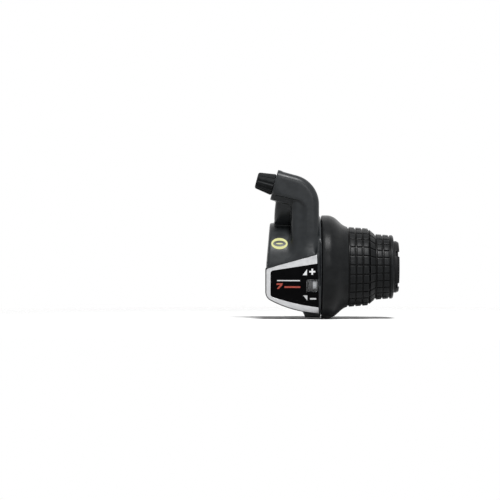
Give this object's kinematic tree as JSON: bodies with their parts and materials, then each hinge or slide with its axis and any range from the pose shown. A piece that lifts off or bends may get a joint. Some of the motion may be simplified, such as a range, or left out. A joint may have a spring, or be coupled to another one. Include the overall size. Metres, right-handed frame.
{
  "type": "twist grip shifter",
  "caption": "Right-hand bicycle twist shifter: blocked rubber grip on a bar sleeve, drum housing with gear window, gooseneck cable outlet and barrel adjuster.",
  "frame": {"origin": "on the handlebar axis, in the middle of the gap between the housing and the twist grip", "axes": "+X along the handlebar towards its outboard end, -Y towards the rider (the indicator's side), +Z the side that the gooseneck rises to"},
  "size_m": [0.0731, 0.0526, 0.0751],
  "materials": {
    "nylon_black": "matte moulded",
    "housing_plastic": "fine grained satin",
    "steel_screw": "plated",
    "bezel_silver": "silver painted",
    "panel_gloss": "gloss black",
    "window_clear": "clear polished",
    "steel_bolt": "zinc plated",
    "spring_steel": "bright",
    "acetal_grey": "satin",
    "number_grey": "satin, printed numbers",
    "rubber_black": "matte",
    "barrel_plastic": "matte"
  },
  "bodies": {
    "housing": {"bracket": "nylon_black", "housing": "housing_plastic", "neck_cover": "nylon_black", "neck_cover_screws": "steel_screw", "housing_screws": "steel_screw", "indicator_bezel": "bezel_silver", "indicator_panel": "panel_gloss", "indicator_window": "window_clear", "clamp_bolt": "steel_bolt", "clamp_nut": "steel_bolt", "click_spring": "spring_steel", "adjuster_nut": "steel_bolt", "retaining_ring": "nylon_black"},
    "grip": {"cable_spool": "acetal_grey", "number_ring": "number_grey", "grip_core": "nylon_black", "grip_rubber": "rubber_black"},
    "casing_end": {"casing_seat": "spring_steel"},
    "adjuster": {"adjuster_barrel": "barrel_plastic", "adjuster_stem": "steel_bolt"}
  },
  "joints": [
    {"name": "twist", "type": "hinge", "parent": "housing", "child": "grip", "pos_m": [0, 0, 0], "axis": [-1, 0, 0], "range_deg": [0, 96], "deforming": ["click_spring"]},
    {"name": "adjuster_travel", "type": "slide", "parent": "housing", "child": "casing_end", "axis": [-0.9659, 0, 0.2588], "range_m": [0, 0.0024]},
    {"name": "adjuster_turn", "type": "hinge", "parent": "casing_end", "child": "adjuster", "pos_m": [-0.0239, -0.015, 0.0414], "axis": [-0.9659, 0, 0.2588], "range_deg": [0, 1080]}
  ],
  "couplings": [
    {"joint": "adjuster_turn", "follows": "adjuster_travel", "rad_per_m": 7854}
  ]
}
